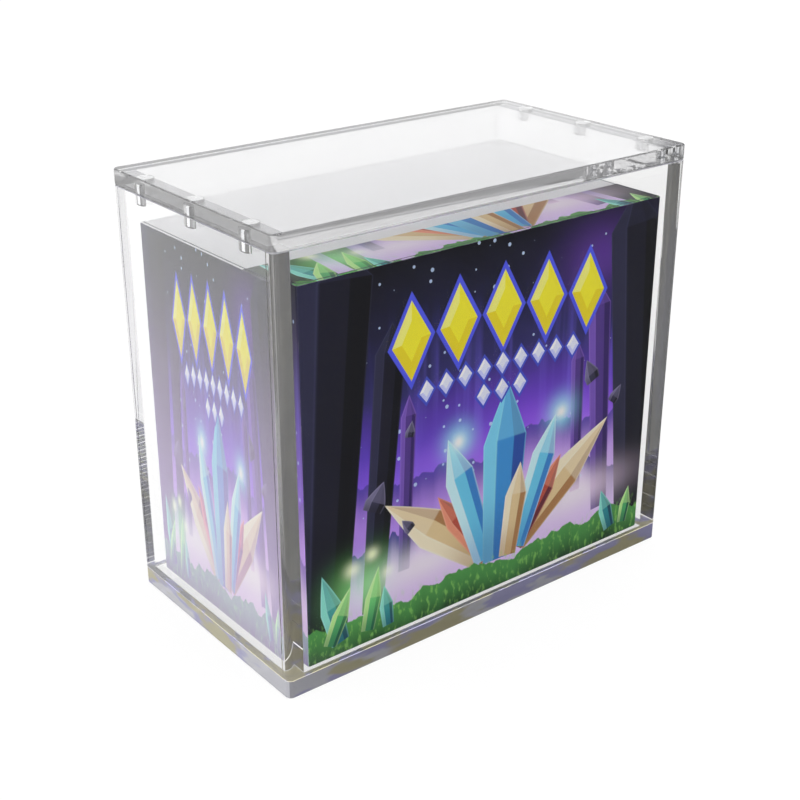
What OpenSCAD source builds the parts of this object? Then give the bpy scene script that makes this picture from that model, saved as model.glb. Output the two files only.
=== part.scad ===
// Clear acrylic display case for one sealed carton of trading cards.
// Five bonded panels make an open box. A flat lid lies on top and is held by
// magnet pairs: one magnet of each pair in the lid, one in the side wall below it.
// Origin: centre of the underside. +X to the right, +Y to the back, +Z up.

/* [Case] */
// Width of the case, left to right
case_w = 156; // [110:1:220]
// Depth of the case, front to back
case_d = 85.5; // [75:0.5:150]
// Height of the walls, from the underside to the lid
wall_h = 136; // [100:1:220]
// Thickness of the front panel and of the back panel
face_t = 3; // [2.5:0.5:5]
// Thickness of the two side panels, which hold the magnets
side_t = 6.5; // [6:0.5:12]
// Thickness of the base panel
base_t = 6; // [4:0.5:12]
// Radius of the four upright outer corners
corner_r = 2; // [1:0.25:2.25]
// Width of the line of set solvent cement between two bonded edges
bond_gap = 0.05; // [0.02:0.01:0.1]

/* [Lid] */
// Thickness of the lid
lid_t = 5; // [4:0.5:8]
// Width of the polished bevel along the lid's edges
lid_bevel = 0.4; // [0.2:0.1:0.8]
// Film of air between the wall tops and the lid
lid_seat = 0.1; // [0.05:0.05:0.3]

/* [Magnets] */
// Diameter of a magnet
magnet_d = 5; // [3:0.5:5]
// Height of a magnet
magnet_h = 3; // [1.5:0.5:3]
// Width of the bevel round the ends of a magnet
magnet_bevel = 0.25; // [0.1:0.05:0.4]
// Distance of the end magnets of a side from the front face and from the back face
magnet_inset = 14.75; // [8:0.25:20]
// Gap round a magnet in its pocket
magnet_fit = 0.1; // [0.05:0.05:0.2]
// Film of glue under a magnet, and how far it lies below the face of its pocket
magnet_sink = 0.05; // [0.02:0.01:0.1]

/* [Carton] */
// Gap between the carton and the left and right walls together
carton_play_x = 3.5; // [1:0.5:20]
// Gap between the carton and the front panel
carton_front_gap = 1; // [0.5:0.5:8]
// Gap between the carton and the back panel
carton_back_gap = 3; // [0.5:0.5:8]
// Distance that the carton stands to the right of the middle
carton_shift_x = 0.6; // [-1:0.1:1]
// Free height between the carton and the lid
carton_head = 11; // [3:0.5:60]
// Air between the folded bottom of the carton and the base panel
carton_seat = 0.1; // [0.05:0.05:0.3]
// Radius of the folded upright edges of the carton
carton_fold_r = 0.8; // [0.4:0.1:2]
// Bevel that the folded top and bottom edges of the carton show
carton_fold_bevel = 0.4; // [0.2:0.1:0.8]
// Thickness of the carton board
board_t = 0.8; // [0.5:0.1:1.5]
// Width of the seam round the tucked top flap
seam_w = 0.4; // [0.2:0.1:0.8]
// Depth of the seam round the tucked top flap
seam_depth = 0.5; // [0.2:0.1:0.8]

/* [Hidden] */
$fn = 64;

LEFT = -1;
RIGHT = 1;
FRONT = -1;
MIDDLE = 0;
REAR = 1;

// Edges of the space inside the walls
inner_x = case_w / 2 - side_t;
inner_y = case_d / 2 - face_t;

// Heights
wall_z = base_t + bond_gap;
lid_z = wall_h + lid_seat;
pocket_depth = magnet_h + 2 * magnet_sink;
wall_magnet_z = wall_h - magnet_sink - magnet_h;
lid_magnet_z = lid_z + magnet_sink;

// Magnets stand in the middle of the side wall's thickness, one of them half way along it
magnet_x = case_w / 2 - side_t / 2;
magnet_pitch = case_d / 2 - magnet_inset;
pocket_r = magnet_d / 2 + magnet_fit;

// Carton
carton_w = 2 * inner_x - carton_play_x;
carton_d = 2 * inner_y - carton_front_gap - carton_back_gap;
carton_z = base_t + carton_seat;
carton_h = wall_h - carton_head - carton_z;
carton_y = (carton_front_gap - carton_back_gap) / 2;

// Extra length of a cutting tool past the face that it cuts
cut = 1;

acrylic = [0.82, 0.88, 0.92, 0.35];
nickel = [0.80, 0.81, 0.83];
print_violet = [0.30, 0.20, 0.52];

// Plan of the case with its rounded corners
module footprint() {
    square([case_w - 2 * corner_r, case_d], center = true);
    square([case_w, case_d - 2 * corner_r], center = true);
    for (sx = [LEFT, RIGHT], sy = [FRONT, REAR])
        translate([sx * (case_w / 2 - corner_r), sy * (case_d / 2 - corner_r)])
            circle(r = corner_r);
}

// Half-section of a slab: bevelled at the top and at the bottom edge
module slab_section(half_width, thickness, bevel) {
    polygon([
        [-half_width + bevel, 0],
        [half_width - bevel, 0],
        [half_width, bevel],
        [half_width, thickness - bevel],
        [half_width - bevel, thickness],
        [-half_width + bevel, thickness],
        [-half_width, thickness - bevel],
        [-half_width, bevel]
    ]);
}

// Slab with round upright corners and a bevel along every flat edge
module bevelled_slab(width, depth, thickness, radius, bevel) {
    rotate([90, 0, 90])
        linear_extrude(width - 2 * radius, center = true)
            slab_section(depth / 2, thickness, bevel);
    rotate([90, 0, 0])
        linear_extrude(depth - 2 * radius, center = true)
            slab_section(width / 2, thickness, bevel);
    for (sx = [-1, 1], sy = [-1, 1])
        translate([sx * (width / 2 - radius), sy * (depth / 2 - radius), 0])
            bevelled_disc(radius, thickness, bevel);
}

// Round disc with a bevel at both ends
module bevelled_disc(radius, thickness, bevel) {
    rotate_extrude()
        polygon([
            [0, 0],
            [radius - bevel, 0],
            [radius, bevel],
            [radius, thickness - bevel],
            [radius - bevel, thickness],
            [0, thickness]
        ]);
}

// Front or back panel: it stands on the base and covers the ends of the side panels
module face_panel(side) {
    color(acrylic)
        intersection() {
            linear_extrude(wall_h)
                footprint();
            translate([-case_w / 2, side > 0 ? inner_y : -case_d / 2, wall_z])
                cube([case_w, face_t, wall_h - wall_z]);
        }
}

module front_panel() {
    face_panel(FRONT);
}

module back_panel() {
    face_panel(REAR);
}

// Side panel: it stands on the base between the front and back panels, with blind pockets in its
// top end
module side_panel(side) {
    color(acrylic)
        difference() {
            translate([side > 0 ? inner_x : -case_w / 2, -inner_y + bond_gap, wall_z])
                cube([side_t, 2 * (inner_y - bond_gap), wall_h - wall_z]);
            for (place = [FRONT, MIDDLE, REAR])
                translate([side * magnet_x, place * magnet_pitch, wall_h - pocket_depth])
                    cylinder(h = pocket_depth + cut, r = pocket_r);
        }
}

module left_panel() {
    side_panel(LEFT);
}

module right_panel() {
    side_panel(RIGHT);
}

// Base panel: a plate as wide and as deep as the case, on which the four walls stand
module base_panel() {
    color(acrylic)
        linear_extrude(base_t)
            footprint();
}

// Lid: a loose slab as wide and as deep as the case, with blind pockets in its underside
module lid_panel() {
    color(acrylic)
        difference() {
            translate([0, 0, lid_z])
                bevelled_slab(case_w, case_d, lid_t, corner_r, lid_bevel);
            for (side = [LEFT, RIGHT], place = [FRONT, MIDDLE, REAR])
                translate([side * magnet_x, place * magnet_pitch, lid_z - cut])
                    cylinder(h = pocket_depth + cut, r = pocket_r);
        }
}

// Nickel-plated disc magnet at one place along a side
module magnet(side, place, z) {
    color(nickel)
        translate([side * magnet_x, place * magnet_pitch, z])
            bevelled_disc(magnet_d / 2, magnet_h, magnet_bevel);
}

module wall_magnet(side, place) {
    magnet(side, place, wall_magnet_z);
}

module lid_magnet(side, place) {
    magnet(side, place, lid_magnet_z);
}

// Sealed card carton: folded board with a tucked top flap, which its seam shows
module card_carton() {
    color(print_violet)
        translate([carton_shift_x, carton_y, carton_z])
            difference() {
                bevelled_slab(carton_w, carton_d, carton_h, carton_fold_r, carton_fold_bevel);
                flap_seam();
            }
}

// Seam of the top flap: it runs inside the front wall and both side walls of the carton
module flap_seam() {
    seam_x = carton_w / 2 - board_t - seam_w;
    seam_y = carton_d / 2 - board_t - seam_w;
    translate([0, 0, carton_h - seam_depth]) {
        translate([-seam_x - seam_w, -seam_y - seam_w, 0])
            cube([2 * (seam_x + seam_w), seam_w, seam_depth + cut]);
        for (x = [-seam_x - seam_w, seam_x])
            translate([x, -seam_y - seam_w, 0])
                cube([seam_w, 2 * seam_y + seam_w, seam_depth + cut]);
    }
}

base_panel();
front_panel();
back_panel();
left_panel();
right_panel();
wall_magnet(LEFT, FRONT);  // left_wall_magnet_front
wall_magnet(LEFT, MIDDLE);  // left_wall_magnet_middle
wall_magnet(LEFT, REAR);  // left_wall_magnet_rear
wall_magnet(RIGHT, FRONT);  // right_wall_magnet_front
wall_magnet(RIGHT, MIDDLE);  // right_wall_magnet_middle
wall_magnet(RIGHT, REAR);  // right_wall_magnet_rear
lid_panel();
lid_magnet(LEFT, FRONT);  // left_lid_magnet_front
lid_magnet(LEFT, MIDDLE);  // left_lid_magnet_middle
lid_magnet(LEFT, REAR);  // left_lid_magnet_rear
lid_magnet(RIGHT, FRONT);  // right_lid_magnet_front
lid_magnet(RIGHT, MIDDLE);  // right_lid_magnet_middle
lid_magnet(RIGHT, REAR);  // right_lid_magnet_rear
card_carton();
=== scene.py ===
# Clear acrylic display case that holds one sealed, printed card carton.
# The file follows the case as it is put together: panels, magnets, lid, carton, then the studio.
import math

import bmesh
import bpy
from mathutils import Matrix, Vector


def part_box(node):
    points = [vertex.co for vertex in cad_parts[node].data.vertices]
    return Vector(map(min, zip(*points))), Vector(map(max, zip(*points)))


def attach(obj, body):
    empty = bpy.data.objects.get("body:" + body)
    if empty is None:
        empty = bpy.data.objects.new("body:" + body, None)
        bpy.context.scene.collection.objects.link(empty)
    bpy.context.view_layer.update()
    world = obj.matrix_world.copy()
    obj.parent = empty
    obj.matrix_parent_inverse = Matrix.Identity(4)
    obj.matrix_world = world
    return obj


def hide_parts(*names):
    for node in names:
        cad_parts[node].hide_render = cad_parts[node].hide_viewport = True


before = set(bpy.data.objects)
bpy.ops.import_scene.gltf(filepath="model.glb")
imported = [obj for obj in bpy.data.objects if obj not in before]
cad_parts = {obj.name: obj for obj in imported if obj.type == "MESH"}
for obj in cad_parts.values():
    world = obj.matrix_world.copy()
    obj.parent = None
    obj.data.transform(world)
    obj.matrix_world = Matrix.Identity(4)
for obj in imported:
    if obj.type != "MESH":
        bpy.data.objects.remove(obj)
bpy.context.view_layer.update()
MM = 0.001


# Front and back panels: 3 mm cast acrylic, cut and flame-polished, with round outer corners.
# They stand on the base and cover the ends of the side panels, with solvent cement in the joints.
SHEET_IOR = 1.49
CORNER_R = 2.0 * MM
SAW_BEVEL = 0.15 * MM
ARC_STEPS = 20
SMOOTH_BELOW = math.radians(25)
ALIKE_AREAS = 4


def plug(tree, value, socket):
    """Puts a number, a colour or another node's output into a socket."""
    if isinstance(value, bpy.types.NodeSocket):
        tree.links.new(value, socket)
    elif value is not None:
        socket.default_value = value


def node(tree, kind, settings=None, **inputs):
    """Adds a node with its settings and with its inputs by name, where _ stands for a space."""
    made = tree.nodes.new(kind)
    for name, value in (settings or {}).items():
        setattr(made, name, value)
    for name, value in inputs.items():
        plug(tree, value, made.inputs[name.replace("_", " ")])
    return made


def maths(tree, operation, *values):
    """The output of one Math node."""
    made = tree.nodes.new("ShaderNodeMath")
    made.operation = operation
    for value, socket in zip(values, made.inputs):
        plug(tree, value, socket)
    return made.outputs[0]


def between(tree, value, low, high, start=0.0, end=1.0):
    """A value mapped smoothly from one range to another, and held inside it."""
    made = tree.nodes.new("ShaderNodeMapRange")
    made.interpolation_type = "SMOOTHSTEP"
    made.clamp = False
    for number, socket in zip((value, low, high, start, end), made.inputs):
        plug(tree, number, socket)
    return made.outputs[0]


def noise(tree, place, scale, detail=2.0, rough=0.5):
    """The grey output of a noise texture."""
    made = node(tree, "ShaderNodeTexNoise", Vector=place, Scale=scale, Detail=detail, Roughness=rough)
    return made.outputs[0]


def stretched(tree, place, stretch):
    """A place scaled by another amount along each axis."""
    made = node(tree, "ShaderNodeVectorMath", {"operation": "MULTIPLY"})
    plug(tree, place, made.inputs[0])
    plug(tree, stretch, made.inputs[1])
    return made.outputs[0]


def paint(code):
    """A colour written as red, green and blue in hex, in the linear values that shaders take."""
    parts = [int(code[i:i + 2], 16) / 255 for i in (0, 2, 4)]
    linear = [part / 12.92 if part <= 0.04045 else ((part + 0.055) / 1.055) ** 2.4 for part in parts]
    return (*linear, 1.0)


def mixed(tree, share, first, second, blend="MIX"):
    """Two colours mixed by a share."""
    made = node(tree, "ShaderNodeMix", {"data_type": "RGBA", "blend_type": blend}, Factor=share)
    plug(tree, first, made.inputs[6])
    plug(tree, second, made.inputs[7])
    return made.outputs[2]


def new_material(name):
    """A node material with its Principled shader and nothing else."""
    material = bpy.data.materials.new(name)
    material.use_nodes = True
    tree = material.node_tree
    tree.nodes.clear()
    shader = tree.nodes.new("ShaderNodeBsdfPrincipled")
    out = tree.nodes.new("ShaderNodeOutputMaterial")
    tree.links.new(shader.outputs[0], out.inputs["Surface"])
    return material, tree, shader


def new_group(name, inputs, outputs):
    """A shader group: its tree, its inputs by name and its output node."""
    tree = bpy.data.node_groups.new(name, "ShaderNodeTree")
    kinds = {float: "NodeSocketFloat", tuple: "NodeSocketColor", Vector: "NodeSocketVector"}
    for title, value in inputs.items():
        made = tree.interface.new_socket(title, in_out="INPUT", socket_type=kinds[type(value)])
        made.default_value = value
    for title, kind in outputs.items():
        tree.interface.new_socket(title, in_out="OUTPUT", socket_type=kinds[kind])
    start = tree.nodes.new("NodeGroupInput")
    end = tree.nodes.new("NodeGroupOutput")
    return tree, {title: start.outputs[title] for title in inputs}, end


def use(tree, group, **inputs):
    """Places a group in a tree, with its inputs by name, where _ stands for a space."""
    made = tree.nodes.new("ShaderNodeGroup")
    made.node_tree = group
    for title, value in inputs.items():
        plug(tree, value, made.inputs[title.replace("_", " ")])
    return made


def sheet_polish_group():
    """Finish of acrylic: a film of polishing haze with fine lines, as roughness."""
    tree, given, end = new_group(
        "sheet_polish",
        {"Place": Vector(), "Line Stretch": Vector((1.0, 1.0, 1.0)), "Least": 0.0, "Most": 0.02},
        {"Roughness": float},
    )
    lines = noise(tree, stretched(tree, given["Place"], given["Line Stretch"]), 900.0, 3.0)
    cloud = noise(tree, given["Place"], 45.0, 3.0)
    both = maths(tree, "MULTIPLY", lines, between(tree, cloud, 0.35, 0.75))
    share = between(tree, both, 0.1, 0.5)
    spread = maths(tree, "SUBTRACT", given["Most"], given["Least"])
    plug(tree, maths(tree, "MULTIPLY_ADD", share, spread, given["Least"]), end.inputs["Roughness"])
    return tree


def acrylic(name, tint, least, most, lines, clear=1.0):
    """Acrylic with one of its finishes: least and most are its roughness, clear what it lets through."""
    material, tree, shader = new_material(name)
    place = node(tree, "ShaderNodeTexCoord").outputs["Object"]
    polish = use(tree, SHEET_POLISH, Place=place, Line_Stretch=lines, Least=least, Most=most)
    tree.links.new(polish.outputs["Roughness"], shader.inputs["Roughness"])
    shader.inputs["Base Color"].default_value = (*tint, 1.0)
    shader.inputs["IOR"].default_value = SHEET_IOR
    shader.inputs["Transmission Weight"].default_value = clear
    return material


def plan_outline(low, high, radii, inset):
    """Points round a rectangle, anticlockwise from its front left corner, with each corner rounded."""
    corners = [
        (low.x, low.y, 180, radii[0]),
        (high.x, low.y, 270, radii[1]),
        (high.x, high.y, 0, radii[2]),
        (low.x, high.y, 90, radii[3]),
    ]
    points = []
    for x, y, start, radius in corners:
        turn_x = x + radius * (1 if x == low.x else -1)
        turn_y = y + radius * (1 if y == low.y else -1)
        steps = ARC_STEPS if radius > 2 * SAW_BEVEL else 1
        for step in range(steps + 1):
            angle = math.radians(start + 90 * step / steps)
            reach = radius - inset
            points.append((turn_x + reach * math.cos(angle), turn_y + reach * math.sin(angle)))
    return points


def loft(mesh, rings):
    """Joins rings of points into one closed skin, with a flat cap at each end."""
    rows = [[mesh.verts.new(point) for point in ring] for ring in rings]
    for below, above in zip(rows, rows[1:]):
        for i in range(len(below)):
            k = (i + 1) % len(below)
            mesh.faces.new((below[i], below[k], above[k], above[i]))
    mesh.faces.new(list(reversed(rows[0])))
    mesh.faces.new(rows[-1])
    mesh.normal_update()


def sheet_mesh(low, high, radii, bevel):
    """A slab of sheet between two corners, with round upright corners and bevelled edges."""
    mesh = bmesh.new()
    levels = [(low.z, bevel), (low.z + bevel, 0), (high.z - bevel, 0), (high.z, bevel)]
    loft(mesh, [
        [(x, y, z) for x, y in plan_outline(low, high, radii, inset)]
        for z, inset in levels
    ])
    return mesh


def sort_faces(mesh, choose):
    """Gives each face the material slot that choose(centre, normal) names."""
    for face in mesh.faces:
        face.material_index = choose(face.calc_center_median(), face.normal)


def score(mesh, axis, places):
    """Cuts edges into the mesh at places along one axis, where its material changes."""
    normal = Vector((0.0, 0.0, 0.0))
    normal[axis] = 1.0
    for place in places:
        everything = [*mesh.verts, *mesh.edges, *mesh.faces]
        bmesh.ops.bisect_plane(mesh, geom=everything, plane_co=normal * place, plane_no=normal)


def piece(name, mesh, body, materials, replaced):
    """Makes the object of a finished mesh and hangs it on its body in place of its node."""
    for face in mesh.faces:
        face.smooth = True
    for edge in mesh.edges:
        if len(edge.link_faces) == 2:
            areas = sorted(face.calc_area() for face in edge.link_faces)
            alike = areas[1] < ALIKE_AREAS * areas[0]
            edge.smooth = alike and edge.calc_face_angle(0.0) < SMOOTH_BELOW
    data = bpy.data.meshes.new(name)
    mesh.to_mesh(data)
    mesh.free()
    made = bpy.data.objects.new(name, data)
    bpy.context.scene.collection.objects.link(made)
    for material in materials:
        data.materials.append(material)
    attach(made, body)
    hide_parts(replaced)
    return made


def painted_reflection_group():
    """Painted reflection of the print in a sawn edge: grey with soft lilac and khaki patches."""
    tree, given, end = new_group(
        "painted_print_reflection",
        {"Place": Vector(), "Stretch": Vector((1.0, 1.0, 1.0)), "Amount": 1.0},
        {"Colour": tuple, "Patches": float},
    )
    place = stretched(tree, given["Place"], given["Stretch"])
    moved = node(tree, "ShaderNodeVectorMath", {"operation": "ADD"})
    plug(tree, place, moved.inputs[0])
    moved.inputs[1].default_value = (3.1, 7.7, 1.3)
    lilac = between(tree, noise(tree, place, 70.0, 3.0, 0.6), 0.44, 0.52)
    khaki = between(tree, noise(tree, moved.outputs[0], 55.0, 3.0, 0.6), 0.49, 0.57)
    colour = mixed(tree, maths(tree, "MULTIPLY", lilac, given["Amount"]), EDGE_GREY, PAINTED_LILAC_REFLECTION)
    colour = mixed(tree, maths(tree, "MULTIPLY", khaki, given["Amount"]), colour, PAINTED_KHAKI_REFLECTION)
    plug(tree, colour, end.inputs["Colour"])
    plug(tree, maths(tree, "MAXIMUM", lilac, khaki), end.inputs["Patches"])
    return tree


def sawn_acrylic(name, stretch, amount, ink, clear):
    """Acrylic whose fine-sawn edge is partly clear and partly matt, in a tone with patches of painted
    reflection of the print.
    """
    material, tree, shader = new_material(name)
    place = node(tree, "ShaderNodeTexCoord").outputs["Object"]
    tints = use(tree, PAINTED_REFLECTION, Place=place, Stretch=stretch, Amount=amount)
    polish = use(tree, SHEET_POLISH, Place=place, Line_Stretch=stretch, Least=0.04, Most=0.12)
    toned = mixed(tree, 1.0, tints.outputs["Colour"], ink, "MULTIPLY")
    tree.links.new(toned, shader.inputs["Base Color"])
    tree.links.new(polish.outputs["Roughness"], shader.inputs["Roughness"])
    shader.inputs["IOR"].default_value = SHEET_IOR
    shader.inputs["Transmission Weight"].default_value = clear
    return material


def set_cement(name, least, most):
    """Set solvent cement: a film that joins two faces without a sheen, and clouds them in streaks. Its
    colour and its denser patches are a painted reflection of the print.
    """
    material, tree, shader = new_material(name)
    place = node(tree, "ShaderNodeTexCoord").outputs["Object"]
    upright = Vector((1.0, 1.0, 0.12))
    tints = use(tree, PAINTED_REFLECTION, Place=place, Stretch=upright, Amount=0.8)
    streaks = noise(tree, stretched(tree, place, upright), 700.0, 3.0)
    cloud = between(tree, streaks, 0.35, 0.75, least, most)
    film = maths(tree, "MULTIPLY_ADD", tints.outputs["Patches"], most, cloud)
    tree.links.new(tints.outputs["Colour"], shader.inputs["Base Color"])
    tree.links.new(film, shader.inputs["Alpha"])
    shader.inputs["Roughness"].default_value = 0.6
    shader.inputs["Specular IOR Level"].default_value = 0.0
    return material


SHEET_POLISH = sheet_polish_group()
# The sawn edge's own grey, then the lilac and khaki of the painted reflection of the print.
EDGE_GREY = paint("EAEAEE")
PAINTED_LILAC_REFLECTION = paint("C6C3EA")
PAINTED_KHAKI_REFLECTION = paint("DAD3A8")
PAINTED_REFLECTION = painted_reflection_group()
ACROSS, ALONG = 0, 1
FACE_SLOT, EDGE_SLOT, JOINT_SLOT, TOP_SLOT = 0, 1, 2, 3
# A face looks along an axis when its normal has more than this share of it.
FACING = 0.5
inner_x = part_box("right_panel")[0].x
inner_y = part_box("back_panel")[0].y
face_polish = acrylic("cast_face", (1.0, 1.0, 1.0), 0.0, 0.012, Vector((0.2, 0.2, 1.0)))
edge_polish = acrylic("flame_polished_edge", (0.97, 0.97, 0.98), 0.0, 0.03, Vector((1.0, 1.0, 0.05)))
# The sawn wall tops and the cement carry a faint painted reflection of the print.
wall_top = sawn_acrylic("sawn_wall_top", Vector((1.0, 1.0, 1.0)), 0.15, paint("D2D2D6"), 0.45)
cement = set_cement("set_cement", 0.0, 0.02)
face_materials = [face_polish, edge_polish, cement, wall_top]
# Each panel: its node, the way along Y that its inner side faces, and its corner radii.
FACE_PANELS = [
    ("front_panel", 1, (CORNER_R, CORNER_R, SAW_BEVEL, SAW_BEVEL)),
    ("back_panel", -1, (SAW_BEVEL, SAW_BEVEL, CORNER_R, CORNER_R)),
]


def choose_wall(inward):
    """The slots of a wall: joints at its foot and on the side panels' ends, and a sawn top."""
    def choose(centre, normal):
        if normal.z < -FACING or (abs(centre.x) > inner_x and normal.y * inward > FACING):
            return JOINT_SLOT
        if normal.z > FACING:
            return TOP_SLOT
        return EDGE_SLOT if abs(normal.x) > FACING else FACE_SLOT
    return choose


for name, inward, radii in FACE_PANELS:
    face_mesh = sheet_mesh(*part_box(name), radii, SAW_BEVEL)
    score(face_mesh, ACROSS, (-inner_x, inner_x))
    sort_faces(face_mesh, choose_wall(inward))
    piece("acrylic_" + name, face_mesh, "case", face_materials, name)


# Base panel: 6 mm acrylic plate as wide and as deep as the case, with round upright corners.
# The four walls stand on its rim in solvent cement. Its sawn edges carry a painted reflection of the
# print, and painted shade makes the front and back edges darker than the sides.
LEVEL_PATCHES = Vector((0.5, 0.5, 1.6))
SHADE_PAINTED_SLOT = 3
# Painted shade: the same sawn edge, lighter on the sides and darker on the front and back.
light_painted_edge = sawn_acrylic("sawn_edge_painted_light", LEVEL_PATCHES, 1.0, paint("C6C6CA"), 0.3)
shade_painted_edge = sawn_acrylic("sawn_edge_painted_shade", LEVEL_PATCHES, 1.0, paint("A4A4A8"), 0.45)
# The cloudy foot joint carries the painted reflection of the print in its patches.
foot_cement = set_cement("cloudy_foot_cement", 0.45, 0.6)
base_mesh = sheet_mesh(*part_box("base_panel"), (CORNER_R,) * 4, SAW_BEVEL)
score(base_mesh, ACROSS, (-inner_x, inner_x))
score(base_mesh, ALONG, (-inner_y, inner_y))


def choose_base(centre, normal):
    """The rim under the walls is a joint, and all that stands upright is a sawn edge, painted darker as
    shade at the front and back.
    """
    if normal.z > FACING:
        return JOINT_SLOT if abs(centre.x) > inner_x or abs(centre.y) > inner_y else FACE_SLOT
    if normal.z < -FACING:
        return FACE_SLOT
    return EDGE_SLOT if abs(normal.x) > abs(normal.y) else SHADE_PAINTED_SLOT


sort_faces(base_mesh, choose_base)
base_materials = [face_polish, light_painted_edge, foot_cement, shade_painted_edge]
piece("acrylic_base_panel", base_mesh, "case", base_materials, "base_panel")


# Side panels: 6.5 mm acrylic, thick enough for three magnets in the top end of each.
# They are bonded to the base and between the front and back panels, and the pockets are blind.
POCKET_GAP = 0.1 * MM
POCKET_FLOOR = 0.05 * MM
CUTTER_EXTRA = 1 * MM
BORE_STEPS = 64
BORE_REACH = 2.8 * MM
HAIR = 0.01 * MM
BORE_SLOT = 3
SIDES = ("left", "right")
PLACES = ("front", "middle", "rear")


def pocket_cutter(magnet_node, upward):
    """A cylinder as wide as the pocket of one magnet, from its floor out through the mouth."""
    low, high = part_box(magnet_node)
    centre = (low + high) / 2
    radius = (high.x - low.x) / 2 + POCKET_GAP
    floor = low.z - POCKET_FLOOR if upward else high.z + POCKET_FLOOR
    mouth = high.z + CUTTER_EXTRA if upward else low.z - CUTTER_EXTRA
    cutter = bmesh.new()
    bmesh.ops.create_cone(
        cutter, cap_ends=True, segments=BORE_STEPS, radius1=radius, radius2=radius,
        depth=abs(mouth - floor),
        matrix=Matrix.Translation((centre.x, centre.y, (floor + mouth) / 2)),
    )
    return cutter


def cut_out(mesh, cutters):
    """Cuts every cutter out of a mesh with exact booleans."""
    whole = bpy.data.meshes.new("whole")
    mesh.to_mesh(whole)
    mesh.free()
    work = bpy.data.objects.new("whole", whole)
    bpy.context.scene.collection.objects.link(work)
    tools = []
    for number, cutter in enumerate(cutters):
        shape = bpy.data.meshes.new(f"cutter_{number}")
        cutter.to_mesh(shape)
        cutter.free()
        tool = bpy.data.objects.new(f"cutter_{number}", shape)
        bpy.context.scene.collection.objects.link(tool)
        cut = work.modifiers.new(f"cut_{number}", "BOOLEAN")
        cut.operation = "DIFFERENCE"
        cut.solver = "EXACT"
        cut.object = tool
        tools.append(tool)
    bpy.context.view_layer.update()
    result = bmesh.new()
    result.from_object(work, bpy.context.evaluated_depsgraph_get())
    result.normal_update()
    for spare in [work, *tools]:
        bpy.data.objects.remove(spare)
    return result


def choose_side(low, high, pocket_floor):
    """The slots of a side panel: bores in its pockets, joints at its foot and ends, and a sawn top."""
    middle = (low.x + high.x) / 2

    def choose(centre, normal):
        in_wall = abs(centre.x - middle) < BORE_REACH and abs(centre.y) < high.y - BORE_REACH
        if in_wall and pocket_floor < centre.z < high.z - HAIR:
            return BORE_SLOT
        if normal.z < -FACING or abs(normal.y) > FACING:
            return JOINT_SLOT
        return EDGE_SLOT if normal.z > FACING else FACE_SLOT
    return choose


drilled_bore = acrylic("drilled_bore", (1.0, 1.0, 1.0), 0.0, 0.03, Vector((1.0, 1.0, 6.0)))
side_materials = [face_polish, wall_top, cement, drilled_bore]
for side in SIDES:
    name = side + "_panel"
    low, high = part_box(name)
    under_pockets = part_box(f"{side}_wall_magnet_middle")[0].z - 2 * POCKET_FLOOR
    side_mesh = sheet_mesh(low, high, (SAW_BEVEL,) * 4, SAW_BEVEL)
    side_mesh = cut_out(side_mesh, [
        pocket_cutter(f"{side}_wall_magnet_{place}", upward=True) for place in PLACES
    ])
    sort_faces(side_mesh, choose_side(low, high, under_pockets))
    piece("acrylic_" + name, side_mesh, "case", side_materials, name)


# Magnets: twelve nickel-plated neodymium discs, 5 mm across and 3 mm high, glued into pockets.
# Each one in a wall has its partner straight above it in the lid.
MAGNET_BEVEL = 0.25 * MM
MAGNET_STEPS = 64
DULL_NICKEL = (0.80, 0.81, 0.83, 1.0)
BRIGHT_NICKEL = (0.92, 0.92, 0.93, 1.0)


def nickel_plating(name):
    """Bright nickel: a little cloudy from plating, with fine turning lines round the rim."""
    material, tree, shader = new_material(name)
    place = node(tree, "ShaderNodeTexCoord").outputs["Object"]
    cloud = noise(tree, place, 900.0, 3.0)
    lines = noise(tree, stretched(tree, place, (0.3, 0.3, 1.0)), 6000.0, 2.0)
    colour = mixed(tree, between(tree, cloud, 0.3, 0.7), DULL_NICKEL, BRIGHT_NICKEL)
    tree.links.new(colour, shader.inputs["Base Color"])
    shader.inputs["Metallic"].default_value = 1.0
    tree.links.new(between(tree, cloud, 0.3, 0.7, 0.03, 0.10), shader.inputs["Roughness"])
    bump = node(tree, "ShaderNodeBump", Height=lines, Strength=0.4, Distance=0.01 * MM)
    tree.links.new(bump.outputs[0], shader.inputs["Normal"])
    return material


def disc_mesh(low, high, bevel):
    """A lathed disc with a bevel round both ends."""
    mesh = bmesh.new()
    centre = (low + high) / 2
    radius = (high.x - low.x) / 2
    levels = [
        (low.z, radius - bevel),
        (low.z + bevel, radius),
        (high.z - bevel, radius),
        (high.z, radius - bevel),
    ]
    turns = [math.tau * step / MAGNET_STEPS for step in range(MAGNET_STEPS)]
    loft(mesh, [
        [(centre.x + reach * math.cos(turn), centre.y + reach * math.sin(turn), z) for turn in turns]
        for z, reach in levels
    ])
    return mesh


plating = nickel_plating("bright_nickel")
for holder, body in (("wall", "case"), ("lid", "lid")):
    for side in SIDES:
        for place in PLACES:
            name = f"{side}_{holder}_magnet_{place}"
            magnet_mesh = disc_mesh(*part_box(name), MAGNET_BEVEL)
            piece("disc_" + name, magnet_mesh, body, [plating], name)


# Lid: a loose 5 mm slab as wide and as deep as the walls, with polished bevels all round.
# Six pockets in its underside hold the upper magnet of each pair. Over the inside it has a pale haze.
LID_BEVEL = 0.4 * MM
LID_RIM = 0.5 * MM
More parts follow.
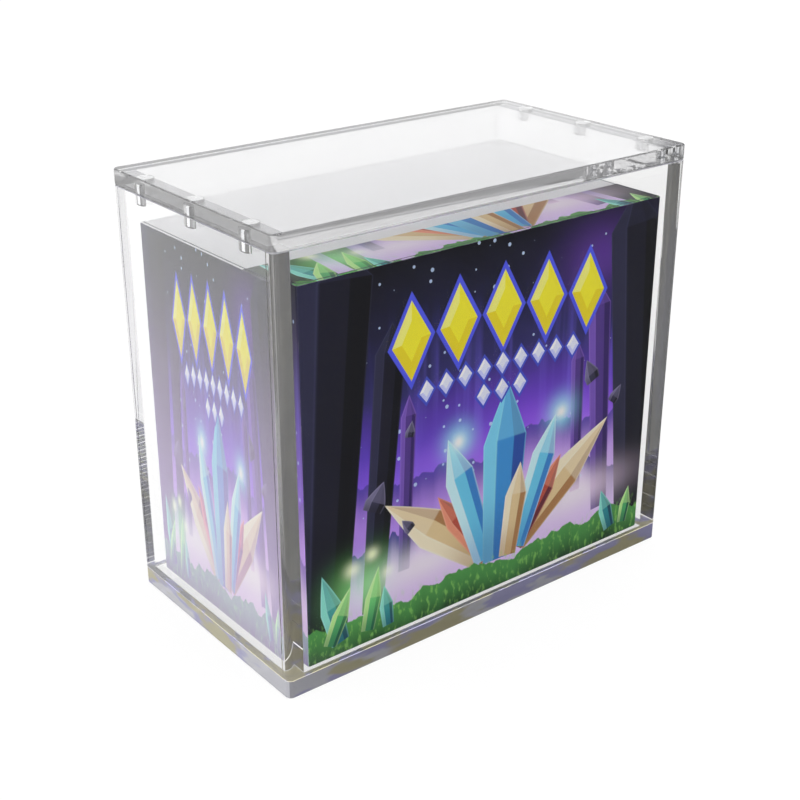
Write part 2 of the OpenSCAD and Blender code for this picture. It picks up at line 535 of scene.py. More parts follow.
# Painted shade: the lid's clear acrylic is tinted grey, darker than the same acrylic in the walls.
LID_SHADE_GREY = (0.86, 0.86, 0.865)
LID_BORE_SLOT = 2
HAZE_SLOT = 3
WIPED_LINES = Vector((0.2, 1.0, 1.0))
lid_face = acrylic("lid_face", LID_SHADE_GREY, 0.0, 0.012, WIPED_LINES)
lid_edge = acrylic("lid_polished_edge", LID_SHADE_GREY, 0.0, 0.03, Vector((1.0, 1.0, 0.05)))
lid_haze = acrylic("lid_haze", (0.97, 0.97, 0.98), 0.0, 0.012, WIPED_LINES, clear=0.62)
lid_materials = [lid_face, lid_edge, drilled_bore, lid_haze]
low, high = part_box("lid_panel")
lid_mesh = sheet_mesh(low, high, (CORNER_R,) * 4, LID_BEVEL)
lid_mesh = cut_out(lid_mesh, [
    pocket_cutter(f"{side}_lid_magnet_{place}", upward=False)
    for side in SIDES for place in PLACES
])
score(lid_mesh, ACROSS, (-inner_x, inner_x))
score(lid_mesh, ALONG, (-inner_y, inner_y))


def choose_lid(centre, normal):
    """The slots of the lid: haze over the inside, bores in the pockets, and polished edges all round."""
    if normal.z < -FACING and abs(centre.x) < inner_x and abs(centre.y) < inner_y:
        return HAZE_SLOT
    in_rim = abs(centre.x) < high.x - LID_RIM and abs(centre.y) < inner_y
    if in_rim and low.z + HAIR < centre.z < high.z - LID_BEVEL:
        return LID_BORE_SLOT
    return FACE_SLOT if abs(normal.z) > FACING else EDGE_SLOT


sort_faces(lid_mesh, choose_lid)
piece("acrylic_lid_panel", lid_mesh, "lid", lid_materials, "lid_panel")


# Carton: folded and glued card board, printed all round and varnished, with its top flap tucked in.
# Its print is a night sky over a crystal garden, under a band of yellow lozenges.
FOLD_R = 0.8 * MM
FOLD_BEVEL = 0.4 * MM
FOLD_STEPS = 4
FOLD_FACING = 0.75
BOARD = 0.8 * MM
SEAM = 0.4 * MM
SEAM_DEPTH = 0.5 * MM
PANELS = "panel_mm"
FACE_PRINT, SIDE_PRINT, TOP_PRINT, BOTTOM_PRINT = 0, 1, 2, 3
INK_SOFT = 0.25
BEYOND_SHEET = 1000.0
BARE_SOFT = 0.4
BARE_SHARE = 0.97
PRINT_GAMMA = 0.82


def crystal_group():
    """One cut crystal with three long facets and a pointed tip, drawn over what is under it."""
    white = (1.0, 1.0, 1.0, 1.0)
    tree, given, end = new_group(
        "print_crystal",
        {
            "Under": white, "Across": 0.0, "Up": 0.0, "Foot X": 0.0, "Foot Up": 0.0, "Lean": 0.0,
            "Half Width": 5.0, "Height": 30.0, "Tip": 0.3, "Lit": white, "Mid": white, "Dark": white,
        },
        {"Colour": tuple},
    )
    dx = maths(tree, "SUBTRACT", given["Across"], given["Foot X"])
    dy = maths(tree, "SUBTRACT", given["Up"], given["Foot Up"])
    angle = maths(tree, "RADIANS", given["Lean"])
    cosine = maths(tree, "COSINE", angle)
    sine = maths(tree, "SINE", angle)
    falling = maths(tree, "MULTIPLY", dy, sine)
    side = maths(tree, "SUBTRACT", maths(tree, "MULTIPLY", dx, cosine), falling)
    along = maths(tree, "ADD", maths(tree, "MULTIPLY", dx, sine), maths(tree, "MULTIPLY", dy, cosine))
    rise = maths(tree, "DIVIDE", along, given["Height"])
    taper = maths(tree, "DIVIDE", maths(tree, "SUBTRACT", 1.0, rise), given["Tip"])
    taper = maths(tree, "MAXIMUM", maths(tree, "MINIMUM", taper, 1.0), 0.0)
    swell = maths(tree, "MULTIPLY_ADD", rise, 0.3, 0.75)
    half = maths(tree, "MULTIPLY", maths(tree, "MULTIPLY", given["Half Width"], swell), taper)
    room = maths(tree, "SUBTRACT", half, maths(tree, "ABSOLUTE", side))
    in_length = between(tree, along, 0.0, INK_SOFT)
    inside = maths(tree, "MULTIPLY", between(tree, room, 0.0, INK_SOFT), in_length)
    facet = maths(tree, "DIVIDE", side, maths(tree, "MAXIMUM", half, 0.01))
    tone = mixed(tree, between(tree, facet, -0.42, -0.36), given["Lit"], given["Mid"])
    tone = mixed(tree, between(tree, facet, 0.38, 0.44), tone, given["Dark"])
    tip = between(tree, taper, 0.96, 0.999, 0.4, 0.0)
    tone = mixed(tree, tip, tone, given["Lit"])
    ridge = maths(tree, "ABSOLUTE", maths(tree, "ADD", facet, 0.39))
    ridge = between(tree, ridge, 0.0, 0.07, 0.55, 0.0)
    rim = between(tree, room, 0.3, 0.75, 0.5, 0.0)
    tone = mixed(tree, maths(tree, "MAXIMUM", ridge, rim), tone, given["Lit"], "SCREEN")
    foot = between(tree, rise, 0.0, 0.45, 0.55, 0.0)
    tone = mixed(tree, foot, tone, given["Dark"])
    plug(tree, mixed(tree, inside, given["Under"], tone), end.inputs["Colour"])
    return tree


def glow_group():
    """A round glow laid over what is under it."""
    tree, given, end = new_group(
        "print_glow",
        {
            "Under": (0.0, 0.0, 0.0, 1.0), "Across": 0.0, "Up": 0.0, "X": 0.0, "Height": 0.0,
            "Wide": 10.0, "High": 10.0, "Light": (1.0, 1.0, 1.0, 1.0), "Strength": 1.0,
        },
        {"Colour": tuple},
    )
    dx = maths(tree, "DIVIDE", maths(tree, "SUBTRACT", given["Across"], given["X"]), given["Wide"])
    dy = maths(tree, "DIVIDE", maths(tree, "SUBTRACT", given["Up"], given["Height"]), given["High"])
    square = maths(tree, "ADD", maths(tree, "MULTIPLY", dx, dx), maths(tree, "MULTIPLY", dy, dy))
    fall = maths(tree, "EXPONENT", maths(tree, "MULTIPLY", square, -2.2))
    share = maths(tree, "MULTIPLY", fall, given["Strength"])
    plug(tree, mixed(tree, share, given["Under"], given["Light"], "SCREEN"), end.inputs["Colour"])
    return tree


def ridge_group():
    """A jagged ridge that stands dark before the light behind it."""
    tree, given, end = new_group(
        "print_ridge",
        {
            "Under": (0.0, 0.0, 0.0, 1.0), "Across": 0.0, "Up": 0.0, "Top": 30.0, "Swing": 8.0,
            "Pitch": 20.0, "Shift": 0.0, "Ink": (0.0, 0.0, 0.0, 1.0), "Haze": (0.0, 0.0, 0.0, 1.0),
        },
        {"Colour": tuple},
    )
    run = maths(tree, "ADD", maths(tree, "DIVIDE", given["Across"], given["Pitch"]), given["Shift"])
    jagged = node(tree, "ShaderNodeTexNoise", {"noise_dimensions": "1D"}, W=run, Scale=1.0, Detail=5.0)
    lift = maths(tree, "MULTIPLY", maths(tree, "SUBTRACT", jagged.outputs[0], 0.5), given["Swing"])
    top = maths(tree, "MULTIPLY_ADD", lift, 2.0, given["Top"])
    depth = maths(tree, "SUBTRACT", top, given["Up"])
    tone = mixed(tree, between(tree, depth, 0.0, 16.0), given["Ink"], given["Haze"])
    plug(tree, mixed(tree, between(tree, depth, 0.0, 0.5), given["Under"], tone), end.inputs["Colour"])
    return tree


def lozenge_group():
    """A row of cut lozenges with a rim, on a shallow arch."""
    tree, given, end = new_group(
        "print_lozenges",
        {
            "Under": (0.0, 0.0, 0.0, 1.0), "Across": 0.0, "Up": 0.0, "X": 0.0, "Height": 0.0,
            "Count": 5.0, "Pitch": 17.0, "Half Wide": 8.5, "Half High": 12.0, "Rim": 0.3, "Arch": 0.002,
            "Lit": (1.0, 1.0, 1.0, 1.0), "Mid": (1.0, 1.0, 1.0, 1.0), "Dark": (1.0, 1.0, 1.0, 1.0),
            "Edge": (0.0, 0.0, 0.0, 1.0),
        },
        {"Colour": tuple},
    )
    dx = maths(tree, "SUBTRACT", given["Across"], given["X"])
    drop = maths(tree, "MULTIPLY", maths(tree, "MULTIPLY", dx, dx), given["Arch"])
    dy = maths(tree, "ADD", maths(tree, "SUBTRACT", given["Up"], given["Height"]), drop)
    half_pitch = maths(tree, "MULTIPLY", given["Pitch"], 0.5)
    minus_half = maths(tree, "MULTIPLY", half_pitch, -1.0)
    cell = maths(tree, "WRAP", dx, half_pitch, minus_half)
    reach = maths(tree, "MULTIPLY", given["Count"], half_pitch)
    in_row = maths(tree, "LESS_THAN", maths(tree, "ABSOLUTE", dx), reach)
    wide = maths(tree, "DIVIDE", maths(tree, "ABSOLUTE", cell), given["Half Wide"])
    high = maths(tree, "DIVIDE", maths(tree, "ABSOLUTE", dy), given["Half High"])
    span = maths(tree, "ADD", wide, high)
    core = maths(tree, "MULTIPLY", between(tree, span, 0.96, 1.0, 1.0, 0.0), in_row)
    outer = maths(tree, "ADD", 1.0, given["Rim"])
    rim = between(tree, maths(tree, "SUBTRACT", outer, span), 0.0, 0.04)
    rim = maths(tree, "MULTIPLY", rim, in_row)
    upper = between(tree, dy, -0.1, 0.1)
    left = between(tree, cell, -0.1, 0.1, 1.0, 0.0)
    tone = mixed(tree, upper, given["Dark"], given["Mid"])
    tone = mixed(tree, maths(tree, "MULTIPLY", upper, left), tone, given["Lit"])
    tone = mixed(tree, between(tree, span, 0.48, 0.52, 1.0, 0.0), tone, given["Mid"])
    colour = mixed(tree, rim, given["Under"], given["Edge"])
    plug(tree, mixed(tree, core, colour, tone), end.inputs["Colour"])
    return tree


CRYSTAL = crystal_group()
GLOW = glow_group()
RIDGE = ridge_group()
LOZENGES = lozenge_group()
INKS = {
    "night": (paint("22223C"), paint("111120"), paint("08080E")),
    "dusk": (paint("6A45B4"), paint("44297F"), paint("2A1858")),
    "slate": (paint("6A6488"), paint("2E2B45"), paint("14131F")),
    "blue": (paint("6FD2F8"), paint("2C86D8"), paint("1B3F9E")),
    "cyan": (paint("C8F6FF"), paint("5CC8F2"), paint("2A76CC")),
    "cream": (paint("FBEBC6"), paint("E6C58C"), paint("A9713F")),
    "ember": (paint("F08A6A"), paint("B8402F"), paint("5E1C2A")),
    "leaf": (paint("B9F58A"), paint("3FA65A"), paint("0F4A3A")),
    "teal": (paint("7FE3D0"), paint("1F8290"), paint("0E3A55")),
}
# Each crystal: ink, foot across and up, lean in degrees, half width, height and tip.
SPIRES = [
    ("dusk", -34.0, 20.0, 2.0, 3.0, 58.0, 0.12),
    ("dusk", 38.0, 24.0, -2.0, 3.0, 54.0, 0.12),
    ("dusk", 50.0, 14.0, -4.0, 5.0, 82.0, 0.10),
    ("night", -46.0, 10.0, 5.0, 5.5, 92.0, 0.10),
    ("night", -66.0, 0.0, 4.0, 13.0, 128.0, 0.08),
    ("night", 67.0, 0.0, -4.0, 11.0, 124.0, 0.10),
]
GEMS = [
    ("cream", -2.0, 14.0, -52.0, 7.5, 50.0, 0.45),
    ("cream", 12.0, 14.0, 50.0, 7.5, 52.0, 0.45),
    ("ember", 0.0, 12.0, -36.0, 4.5, 36.0, 0.35),
    ("ember", 12.0, 12.0, 34.0, 4.5, 34.0, 0.35),
    ("cyan", -1.0, 12.0, -19.0, 6.0, 50.0, 0.30),
    ("cyan", 12.0, 12.0, 20.0, 5.5, 46.0, 0.30),
    ("blue", 5.0, 10.0, 1.5, 9.5, 62.0, 0.32),
    ("cream", 8.5, 10.0, 8.0, 5.0, 33.0, 0.35),
]
GARDEN = [
    ("teal", -58.0, 4.0, -14.0, 4.5, 26.0, 0.5),
    ("leaf", -48.0, 4.0, 12.0, 3.5, 22.0, 0.5),
    ("leaf", -62.0, 4.0, 24.0, 3.5, 20.0, 0.5),
    ("teal", -40.0, 3.0, -6.0, 3.0, 15.0, 0.5),
    ("teal", 56.0, 4.0, -18.0, 3.5, 17.0, 0.5),
    ("leaf", 62.0, 4.0, 10.0, 3.0, 14.0, 0.5),
]
SHARDS = [
    ("slate", -46.0, 44.0, 28.0, 5.0, 10.0, 0.7),
    ("slate", -31.0, 33.0, -40.0, 2.6, 6.0, 0.7),
    ("slate", 44.0, 62.0, -24.0, 4.0, 9.0, 0.7),
    ("slate", 53.0, 52.0, 38.0, 3.0, 7.0, 0.7),
    ("slate", -32.0, 64.0, 12.0, 2.4, 5.5, 0.7),
]
# Each glow: across, up, wide, high, light and strength.
MISTS = [
    (14.0, 46.0, 60.0, 26.0, paint("7434FF"), 0.85),
    (30.0, 32.0, 44.0, 16.0, paint("FBD8FF"), 0.95),
    (-34.0, 38.0, 32.0, 24.0, paint("3A50F5"), 0.85),
    (44.0, 104.0, 22.0, 16.0, paint("6A2FC0"), 0.45),
]
LOW_MISTS = [
    (24.0, 31.0, 50.0, 15.0, paint("F0C4FF"), 0.8),
]
GROUND_MISTS = [
    (-26.0, 20.0, 26.0, 9.0, paint("F2DCFF"), 0.85),
    (36.0, 23.0, 30.0, 10.0, paint("FFE0FF"), 0.90),
]
SPARKS = [
    (-13.0, 57.0, 8.0, 8.0, paint("6FE0FF"), 1.0),
    (-13.0, 57.0, 3.2, 3.2, paint("FFFFFF"), 1.0),
    (30.0, 55.0, 8.0, 8.0, paint("6FE0FF"), 1.0),
    (30.0, 55.0, 3.2, 3.2, paint("FFFFFF"), 1.0),
]
EMBERS = [
    (-48.0, 20.0, 16.0, 12.0, paint("7CFF6A"), 0.70),
    (-53.0, 27.0, 4.0, 3.6, paint("F4FFC8"), 1.0),
    (-46.0, 30.0, 3.2, 3.0, paint("F4FFC8"), 1.0),
    (-40.0, 22.0, 3.2, 3.0, paint("F4FFC8"), 1.0),
]


def drawn(tree, colour, across, up, crystals):
    """A list of crystals drawn one over the other."""
    for ink, x, foot, lean, half, height, tip in crystals:
        lit, mid, dark = INKS[ink]
        colour = use(
            tree, CRYSTAL, Under=colour, Across=across, Up=up, Foot_X=x, Foot_Up=foot, Lean=lean,
            Half_Width=half, Height=height, Tip=tip, Lit=lit, Mid=mid, Dark=dark,
        ).outputs[0]
    return colour


def lit_up(tree, colour, across, up, glows):
    """A list of glows laid one over the other."""
    for x, height, wide, high, light, strength in glows:
        colour = use(
            tree, GLOW, Under=colour, Across=across, Up=up, X=x, Height=height, Wide=wide, High=high,
            Light=light, Strength=strength,
        ).outputs[0]
    return colour


def print_group():
    """The whole design: night sky, glows, ridges, crystals and the band, in millimetres of the sheet."""
    tree, given, end = new_group("print_design", {"Across": 0.0, "Up": 0.0}, {"Colour": tuple})
    across = given["Across"]
    up = given["Up"]
    place = node(tree, "ShaderNodeCombineXYZ", X=across, Y=up).outputs[0]
    warp = maths(tree, "SUBTRACT", noise(tree, place, 0.03, 3.0), 0.5)
    height = maths(tree, "MULTIPLY_ADD", warp, 22.0, up)
    sky = node(tree, "ShaderNodeValToRGB", Fac=maths(tree, "DIVIDE", height, 119.0))
    stops = [
        (0.0, "10261E"), (0.14, "1B3350"), (0.25, "6A3AE0"), (0.36, "8440F0"), (0.52, "4A26B0"),
        (0.68, "23205A"), (0.84, "141430"), (1.0, "0C0C16"),
    ]
    ramp = sky.color_ramp
    ramp.elements[0].color = paint(stops[0][1])
    ramp.elements[1].color = paint(stops[-1][1])
    for at, code in stops[1:-1]:
        ramp.elements.new(at).color = paint(code)
    colour = lit_up(tree, sky.outputs[0], across, up, MISTS)
    streaks = noise(tree, stretched(tree, place, (1.0, 0.05, 1.0)), 0.16, 3.0)
    fading = between(tree, up, 74.0, 108.0, 1.0, 0.0)
    window = maths(tree, "MULTIPLY", between(tree, up, 40.0, 62.0), fading)
    aurora = maths(tree, "MULTIPLY", between(tree, streaks, 0.48, 0.72, 0.0, 0.45), window)
    colour = mixed(tree, aurora, colour, paint("5A4AE0"), "SCREEN")
    colour = use(
        tree, RIDGE, Under=colour, Across=across, Up=up, Top=52.0, Swing=15.0, Pitch=26.0, Shift=3.7,
        Ink=paint("4A34A8"), Haze=paint("B07CF2"),
    ).outputs[0]
    colour = lit_up(tree, colour, across, up, LOW_MISTS)
    colour = use(
        tree, RIDGE, Under=colour, Across=across, Up=up, Top=34.0, Swing=12.0, Pitch=17.0, Shift=11.3,
        Ink=paint("3A3290"), Haze=paint("E6C4FF"),
    ).outputs[0]
    cells = node(tree, "ShaderNodeTexVoronoi", {"voronoi_dimensions": "2D"}, Vector=place, Scale=0.17)
    chance = node(tree, "ShaderNodeSeparateColor", Color=cells.outputs["Color"])
    size = between(tree, chance.outputs[0], 0.45, 1.0, 0.0, 0.11)
    star = maths(tree, "GREATER_THAN", size, cells.outputs["Distance"])
    star = maths(tree, "MULTIPLY", star, between(tree, up, 20.0, 34.0, 0.0, 0.8))
    colour = mixed(tree, star, colour, paint("BFD8FF"))
    colour = drawn(tree, colour, across, up, SPIRES)
    colour = lit_up(tree, colour, across, up, GROUND_MISTS)
    colour = drawn(tree, colour, across, up, GEMS)
    colour = lit_up(tree, colour, across, up, SPARKS)
    colour = use(
        tree, RIDGE, Under=colour, Across=across, Up=up, Top=11.0, Swing=8.0, Pitch=21.0, Shift=5.1,
        Ink=paint("3F8F3C"), Haze=paint("0A1A12"),
    ).outputs[0]
    blades = noise(tree, stretched(tree, place, (1.0, 0.45, 1.0)), 0.6, 4.0)
    meadow = between(tree, up, 9.0, 15.0, 1.0, 0.0)
    tufts = maths(tree, "MULTIPLY", between(tree, blades, 0.52, 0.68, 0.0, 0.5), meadow)
    colour = mixed(tree, tufts, colour, paint("8CE05A"))
    colour = drawn(tree, colour, across, up, GARDEN)
    colour = lit_up(tree, colour, across, up, EMBERS)
    colour = drawn(tree, colour, across, up, SHARDS)
    yellow = {
        "Lit": paint("FFFA70"), "Mid": paint("FDF020"), "Dark": paint("F2D814"), "Edge": paint("3F48F0"),
    }
    white = {
        "Lit": paint("FFFFFF"), "Mid": paint("E8EAFF"), "Dark": paint("C4C9FF"), "Edge": paint("3440C8"),
    }
    colour = use(
        tree, LOZENGES, Under=colour, Across=across, Up=up, X=4.0, Height=96.0, Count=5.0,
        Pitch=17.6, Half_Wide=7.2, Half_High=12.5, Rim=0.22, Arch=0.0016, **yellow,
    ).outputs[0]
    for count, up_at in ((9.0, 78.5), (3.0, 70.0)):
        colour = use(
            tree, LOZENGES, Under=colour, Across=across, Up=up, X=4.0, Height=up_at, Count=count,
            Pitch=7.4, Half_Wide=2.7, Half_High=3.6, Rim=0.36, Arch=0.0016, **white,
        ).outputs[0]
    plug(tree, colour, end.inputs["Colour"])
    return tree


def board_wear_group():
    """Wear of a folded edge: whitened fibres where the print cracks, as a mask."""
    tree, given, end = new_group(
        "board_wear",
        {"Place": Vector(), "Edge Distance": 1.0, "Reach": 0.6},
        {"Mask": float, "Fibre": float},
    )
    grain = noise(tree, given["Place"], 2200.0, 4.0, 0.7)
    patches = noise(tree, given["Place"], 160.0, 3.0)
    near = maths(tree, "DIVIDE", given["Edge Distance"], given["Reach"])
    level = maths(tree, "MULTIPLY_ADD", grain, 0.5, maths(tree, "MULTIPLY", patches, 0.8))
    plug(tree, between(tree, maths(tree, "SUBTRACT", level, near), 0.28, 0.5), end.inputs["Mask"])
    plug(tree, grain, end.inputs["Fibre"])
    return tree


PRINT = print_group()
BOARD_WEAR = board_wear_group()


def printed_board(
    name, half_wide, high, squeeze=1.0, shift=(0.0, 0.0), painted_veil=(0.0, 0.0), bare_from=BEYOND_SHEET
):
    """Varnished print: squeeze narrows the design, shift moves it, bare_from ends it, and a lilac veil
    that pales it toward the bottom is a painted reflection.
    """
    material, tree, shader = new_material(name)
    place = node(tree, "ShaderNodeTexCoord").outputs["Object"]
    panel = node(tree, "ShaderNodeUVMap", {"uv_map": PANELS}).outputs[0]
    spot = node(tree, "ShaderNodeSeparateXYZ", Vector=panel)
    across = spot.outputs[0]
    up = spot.outputs[1]
    drawn_across = maths(tree, "MULTIPLY_ADD", across, 1 / squeeze, shift[0])
    design = use(tree, PRINT, Across=drawn_across, Up=maths(tree, "ADD", up, shift[1])).outputs[0]
    # Painted reflection: a lilac veil screened over the design, strongest at the bottom.
    design = mixed(tree, between(tree, up, 0.0, high, *painted_veil), design, paint("C49BF2"), "SCREEN")
    design = node(tree, "ShaderNodeGamma", Color=design, Gamma=PRINT_GAMMA).outputs[0]
    bare = between(tree, up, bare_from, bare_from + BARE_SOFT, 0.0, BARE_SHARE)
    design = mixed(tree, bare, design, paint("F8F8FA"))
    side = maths(tree, "SUBTRACT", half_wide, maths(tree, "ABSOLUTE", across))
    rise = maths(tree, "MINIMUM", up, maths(tree, "SUBTRACT", high, up))
    nearest = maths(tree, "MINIMUM", side, rise)
    wear = use(tree, BOARD_WEAR, Place=place, Edge_Distance=nearest, Reach=0.7)
    worn = maths(tree, "MULTIPLY", wear.outputs["Mask"], 0.35)
    tree.links.new(mixed(tree, worn, design, paint("C9C6D6")), shader.inputs["Base Color"])
    varnish = between(tree, noise(tree, place, 60.0, 3.0), 0.3, 0.7, 0.30, 0.40)
    tree.links.new(maths(tree, "MULTIPLY_ADD", worn, 0.5, varnish), shader.inputs["Roughness"])
    shader.inputs["Specular IOR Level"].default_value = 0.2
    bump = node(tree, "ShaderNodeBump", Height=wear.outputs["Fibre"], Strength=0.25, Distance=0.02 * MM)
    tree.links.new(bump.outputs[0], shader.inputs["Normal"])
    return material


def carton_mesh(low, high):
    """The folded carton: rounded uprights, and folds that turn over the top and bottom edges."""
    mesh = bmesh.new()
    turns = [math.radians(90 * step / FOLD_STEPS) for step in range(FOLD_STEPS + 1)]
    rings = [(FOLD_BEVEL * (1 - math.sin(t)), FOLD_BEVEL * (1 - math.cos(t))) for t in reversed(turns)]
    levels = [(low.z + drop, inset) for drop, inset in rings]
    levels += [(high.z - drop, inset) for drop, inset in reversed(rings)]
    loft(mesh, [
        [(x, y, z) for x, y in plan_outline(low, high, (FOLD_R,) * 4, inset)]
        for z, inset in levels
    ])
    return mesh


def box_cutter(low, high):
    """A plain box between two corners, for cutting."""
    cutter = bmesh.new()
    matrix = Matrix.Translation((low + high) / 2) @ Matrix.Diagonal((*(high - low), 1))
    bmesh.ops.create_cube(cutter, size=1.0, matrix=matrix)
    return cutter


def flap_seams(low, high):
    """Cutters for the seam where the top flap tucks in: along the front and down both sides."""
    left = low.x + BOARD
    right = high.x - BOARD
    front = low.y + BOARD
    back = high.y - BOARD
    floor = high.z - SEAM_DEPTH
    top = high.z + CUTTER_EXTRA
    return [
        box_cutter(Vector((left, front, floor)), Vector((right, front + SEAM, top))),
        box_cutter(Vector((left, front, floor)), Vector((left + SEAM, back, top))),
        box_cutter(Vector((right - SEAM, front, floor)), Vector((right, back, top))),
    ]


def lay_print(mesh, low, high):
    """Lays each face on its panel of the printed sheet: millimetres across and up, and its slot."""
    layer = mesh.loops.layers.uv.new(PANELS)
    centre = (low + high) / 2
    for face in mesh.faces:
        n = face.normal
        if abs(n.z) > FOLD_FACING:
            panel = TOP_PRINT if n.z > 0 else BOTTOM_PRINT
        else:
            panel = FACE_PRINT if abs(n.y) > abs(n.x) else SIDE_PRINT
        face.material_index = panel
        for loop in face.loops:
            p = loop.vert.co
            if panel == TOP_PRINT:
                place = (p.x - centre.x, p.y - low.y)
            elif panel == BOTTOM_PRINT:
                place = (p.x - centre.x, high.y - p.y)
            elif panel == FACE_PRINT:
                place = ((p.x - centre.x) * (1 if n.y < 0 else -1), p.z - low.z)
            else:
                place = ((p.y - centre.y) * (1 if n.x > 0 else -1), p.z - low.z)
            loop[layer].uv = (place[0] / MM, place[1] / MM)


low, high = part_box("card_carton")
wide, deep, tall = (high - low) / MM
board_mesh = cut_out(carton_mesh(low, high), flap_seams(low, high))
lay_print(board_mesh, low, high)
board_prints = [
    printed_board("print_front_and_back", wide / 2, tall),
    # The sides carry the painted reflection veil.
    printed_board("print_sides", deep / 2, tall, squeeze=0.5, shift=(4.0, 0.0), painted_veil=(0.58, 0.0)),
    printed_board("print_top", wide / 2, deep, shift=(0.0, 9.0), bare_from=18.7),
    printed_board("print_bottom", wide / 2, deep),
]
piece("printed_card_carton", board_mesh, "carton", board_prints, "card_carton")


# Studio: a white floor that runs out of sight under an even white sky.
# A room of greys stands round it that only reflections find, to draw the edges of the acrylic.
scene = bpy.context.scene
FLOOR_HALF = 12.0
FLOOR_DROP = 0.2 * MM
PAPER_LIGHT = 0.9
SOFT_SKY = 1.6
# The room's shape: a floor with a low kerb near the case, then more floor, a wall and a ceiling.
KERB_R = 0.2
KERB_TOP = 0.06
ROOM_R = 1.6
ROOM_TOP = 1.5
ROOM_STEPS = 32
# The room's tones: where each begins and is full, in metres, turns or the cosine of an angle.
BACK_LEFT = (-0.616, 0.788)
DARK_SECTOR = (0.62, 0.78)
DARK_FLOOR = (0.20, 0.28)
WALL_FADE = (0.1, 0.5)
RIGHT_WALL = (-0.3, 0.4)
RIGHT_SHARE = 0.85
DARK_SHARE = 0.84
FIRST_TURN = (-0.02, 0.04, 0.08, 1.25)
MANY_TURNS = 8.5
LAST_TURNS = (18.0, 22.0, 0.3, 0.9)


def shown_directly(tree):
    """1 for what the camera sees, itself or by way of glass and metal, and 0 for what lights things."""
    path = node(tree, "ShaderNodeLightPath")
    seen = maths(tree, "MAXIMUM", path.outputs["Is Camera Ray"], path.outputs["Is Glossy Ray"])
    seen = maths(tree, "MAXIMUM", seen, path.outputs["Is Transmission Ray"])
    return maths(tree, "MULTIPLY", seen, maths(tree, "LESS_THAN", path.outputs["Diffuse Depth"], 0.5))


def staged(name, mesh, surface):
    """A part of the studio, with a shader made by surface(tree)."""
    data = bpy.data.meshes.new(name)
    mesh.to_mesh(data)
    mesh.free()
    made = bpy.data.objects.new(name, data)
    scene.collection.objects.link(made)
    material = bpy.data.materials.new(name)
    material.use_nodes = True
    tree = material.node_tree
    tree.nodes.clear()
    out = tree.nodes.new("ShaderNodeOutputMaterial")
    tree.links.new(surface(tree), out.inputs["Surface"])
    data.materials.append(material)
    return made


def white_paper(tree):
    """White paper that shows white, but for a soft shadow of what stands on it."""
    place = node(tree, "ShaderNodeTexCoord").outputs["Object"]
    tone = between(tree, noise(tree, place, 3.0), 0.3, 0.7, 0.90, 0.92)
    colour = node(tree, "ShaderNodeCombineColor", Red=tone, Green=tone, Blue=tone).outputs[0]
    paper = node(tree, "ShaderNodeBsdfDiffuse", Color=colour)
    light = node(tree, "ShaderNodeEmission", Color=(1.0, 1.0, 1.0, 1.0), Strength=1.0)
    share = maths(tree, "MULTIPLY", shown_directly(tree), PAPER_LIGHT)
    both = node(tree, "ShaderNodeMixShader", Fac=share)
    plug(tree, paper.outputs[0], both.inputs[1])
    plug(tree, light.outputs[0], both.inputs[2])
    return both.outputs[0]


def grey_room(tree):
    """Nothing for rays straight from the camera, and tones of grey for those that were turned back."""
    turns = node(tree, "ShaderNodeLightPath").outputs["Glossy Depth"]
    spot = node(tree, "ShaderNodeSeparateXYZ", Vector=node(tree, "ShaderNodeTexCoord").outputs["Object"])
    x, y, z = spot.outputs
    back_left = maths(tree, "MULTIPLY_ADD", x, BACK_LEFT[0], maths(tree, "MULTIPLY", y, BACK_LEFT[1]))
    square = maths(tree, "ADD", maths(tree, "MULTIPLY", x, x), maths(tree, "MULTIPLY", y, y))
    reach = maths(tree, "MAXIMUM", maths(tree, "SQRT", square), MM)
    cosine = maths(tree, "ABSOLUTE", maths(tree, "DIVIDE", back_left, reach))
    sector = between(tree, cosine, *DARK_SECTOR)
    close = between(tree, reach, *DARK_FLOOR, 1.0, 0.0)
    low = between(tree, z, *WALL_FADE, 1.0, 0.0)
    dark = maths(tree, "MULTIPLY", maths(tree, "MAXIMUM", sector, close), low)
    high = between(tree, z, *WALL_FADE, 0.0, RIGHT_SHARE)
    right = maths(tree, "MULTIPLY", between(tree, x, *RIGHT_WALL), high)
    often = maths(tree, "MULTIPLY_ADD", maths(tree, "MAXIMUM", dark, right), -DARK_SHARE, 1.0)
    once = between(tree, back_left, *FIRST_TURN)
    first = maths(tree, "LESS_THAN", turns, 1.5)
    many = maths(tree, "GREATER_THAN", turns, MANY_TURNS)
    last = between(tree, turns, *LAST_TURNS)
    level = maths(tree, "MULTIPLY_ADD", maths(tree, "SUBTRACT", once, often), first, often)
    level = maths(tree, "MULTIPLY_ADD", maths(tree, "SUBTRACT", last, level), many, level)
    grey = node(tree, "ShaderNodeEmission", Color=(1.0, 1.0, 1.0, 1.0), Strength=level)
    clear = node(tree, "ShaderNodeBsdfTransparent")
    both = node(tree, "ShaderNodeMixShader", Fac=maths(tree, "GREATER_THAN", turns, 0.5))
    plug(tree, clear.outputs[0], both.inputs[1])
    plug(tree, grey.outputs[0], both.inputs[2])
    return both.outputs[0]


floor_mesh = bmesh.new()
bmesh.ops.create_grid(floor_mesh, x_segments=1, y_segments=1, size=FLOOR_HALF)
floor = staged("white_floor", floor_mesh, white_paper)
floor.location.z = -FLOOR_DROP

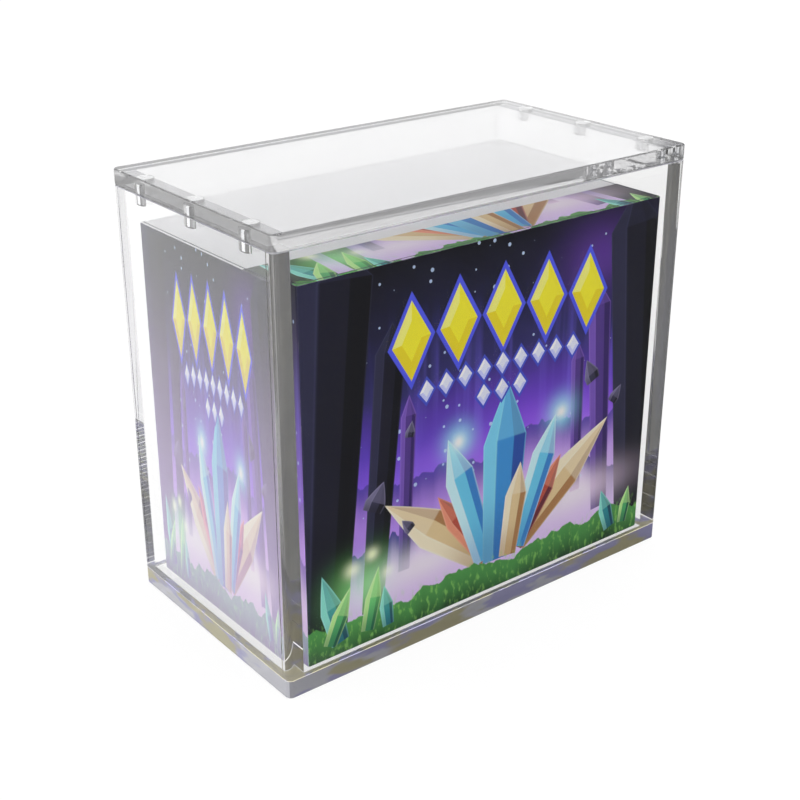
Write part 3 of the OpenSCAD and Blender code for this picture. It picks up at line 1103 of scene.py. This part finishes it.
room_mesh = bmesh.new()
turns = [math.tau * step / ROOM_STEPS for step in range(ROOM_STEPS)]
floor_level = -FLOOR_DROP / 2
ROOM_LINES = (
    (KERB_R, floor_level), (KERB_R, KERB_TOP), (ROOM_R, floor_level), (ROOM_R, ROOM_TOP),
)
near, kerb, foot, head = [
    [room_mesh.verts.new((radius * math.cos(t), radius * math.sin(t), height)) for t in turns]
    for radius, height in ROOM_LINES
]
room_mesh.faces.new(near)
for i in range(ROOM_STEPS):
    k = (i + 1) % ROOM_STEPS
    room_mesh.faces.new((near[i], near[k], kerb[k], kerb[i]))
    room_mesh.faces.new((near[i], near[k], foot[k], foot[i]))
    room_mesh.faces.new((foot[i], foot[k], head[k], head[i]))
room_mesh.faces.new(head)
room = staged("grey_room", room_mesh, grey_room)
room.visible_camera = False
room.visible_diffuse = False
room.visible_shadow = False

world = bpy.data.worlds.new("white_studio")
scene.world = world
world.use_nodes = True
sky = world.node_tree
sky.nodes.clear()
white_sky = node(sky, "ShaderNodeBackground", Color=(1.0, 1.0, 1.0, 1.0), Strength=1.0)
soft_sky = node(sky, "ShaderNodeBackground", Color=(1.0, 1.0, 1.0, 1.0), Strength=SOFT_SKY)
both_skies = node(sky, "ShaderNodeMixShader", Fac=shown_directly(sky))
plug(sky, soft_sky.outputs[0], both_skies.inputs[1])
plug(sky, white_sky.outputs[0], both_skies.inputs[2])
sky_out = node(sky, "ShaderNodeOutputWorld")
sky.links.new(both_skies.outputs[0], sky_out.inputs["Surface"])


# Camera: the photograph's own view of the case, from the front left and a little above.
# Its place and lens come from the case's outer corners in the picture.
CAMERA_PLACE = Vector((-0.2602, -0.3262, 0.2452))
CAMERA_TURN = math.radians(-38.23)
CAMERA_TILT = math.radians(23.99)
LENS_MM = 62.63
camera_data = bpy.data.cameras.new("camera")
camera_data.lens = LENS_MM
camera_data.sensor_width = 36.0
camera_data.clip_start = 0.01
camera = bpy.data.objects.new("camera", camera_data)
camera.location = CAMERA_PLACE
camera.rotation_euler = (math.pi / 2 - CAMERA_TILT, 0, CAMERA_TURN)
scene.collection.objects.link(camera)
scene.camera = camera

scene.view_settings.view_transform = "Standard"
scene.cycles.max_bounces = 64
scene.cycles.transmission_bounces = 48
scene.cycles.glossy_bounces = 56
scene.cycles.transparent_max_bounces = 24
